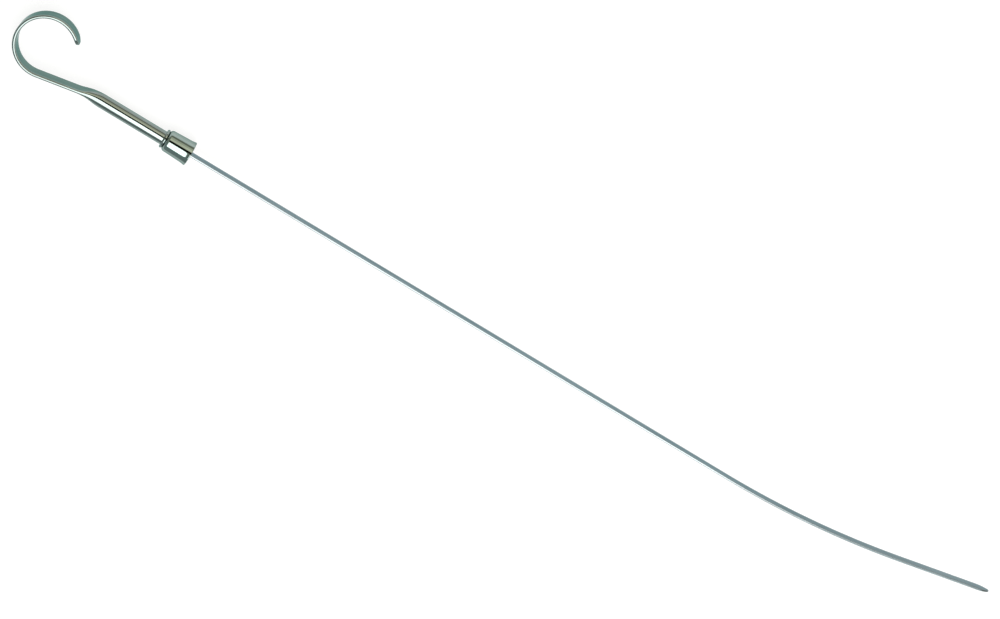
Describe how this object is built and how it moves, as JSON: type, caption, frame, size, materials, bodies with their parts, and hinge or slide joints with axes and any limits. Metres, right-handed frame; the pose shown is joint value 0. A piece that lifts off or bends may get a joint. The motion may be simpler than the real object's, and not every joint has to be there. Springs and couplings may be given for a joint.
{
  "type": "engine oil dipstick",
  "caption": "Chromed oil dipstick with a flattened hook handle, a drawn metal cap and a long flat blade with a gently bent, pointed end.",
  "frame": {"origin": "on the axis of the spigot, at the washer's face where the mouth of the guide tube stops", "axes": "+X along the blade towards its tip, +Y towards the open side of the hook, +Z normal to the plane of the hook, up as it lies"},
  "size_m": [0.6685, 0.0362, 0.0146],
  "materials": {
    "chrome_handle": "polished chrome plate",
    "chrome_cap": "polished chrome plate",
    "nitrile": "matt moulded rubber",
    "blade_steel": "bright plated spring steel, fine lengthwise grain"
  },
  "bodies": {
    "root": {"handle": "chrome_handle", "cap": "chrome_cap", "seal_washer": "nitrile", "blade": "blade_steel"}
  },
  "joints": []
}
